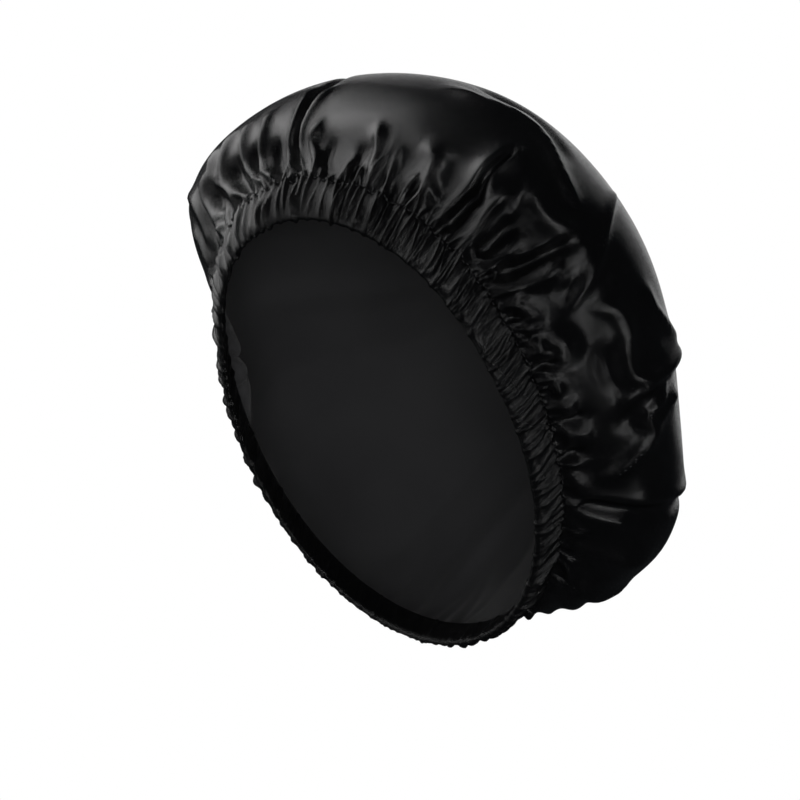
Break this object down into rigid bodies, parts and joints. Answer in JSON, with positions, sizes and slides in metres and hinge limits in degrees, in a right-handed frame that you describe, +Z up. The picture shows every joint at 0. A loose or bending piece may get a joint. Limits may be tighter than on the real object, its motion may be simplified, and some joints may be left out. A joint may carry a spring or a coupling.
{
  "type": "sleep bonnet",
  "caption": "Hollow, puffed satin sleep bonnet gathered onto a narrow elastic casing round its oval mouth, in its worn form.",
  "frame": {"origin": "centre of the oval mouth, where the bonnet sits on a head", "axes": "+Z up, the wearer faces -Y, and the wearer's left is +X; the mouth leans 57.8 degrees from level, high at the forehead"},
  "size_m": [0.2734, 0.2351, 0.2923],
  "materials": {
    "satin": "glossy black satin",
    "casing_satin": "finely gathered black satin"
  },
  "bodies": {
    "root": {"crown": "satin", "elastic_casing": "casing_satin"}
  },
  "joints": []
}
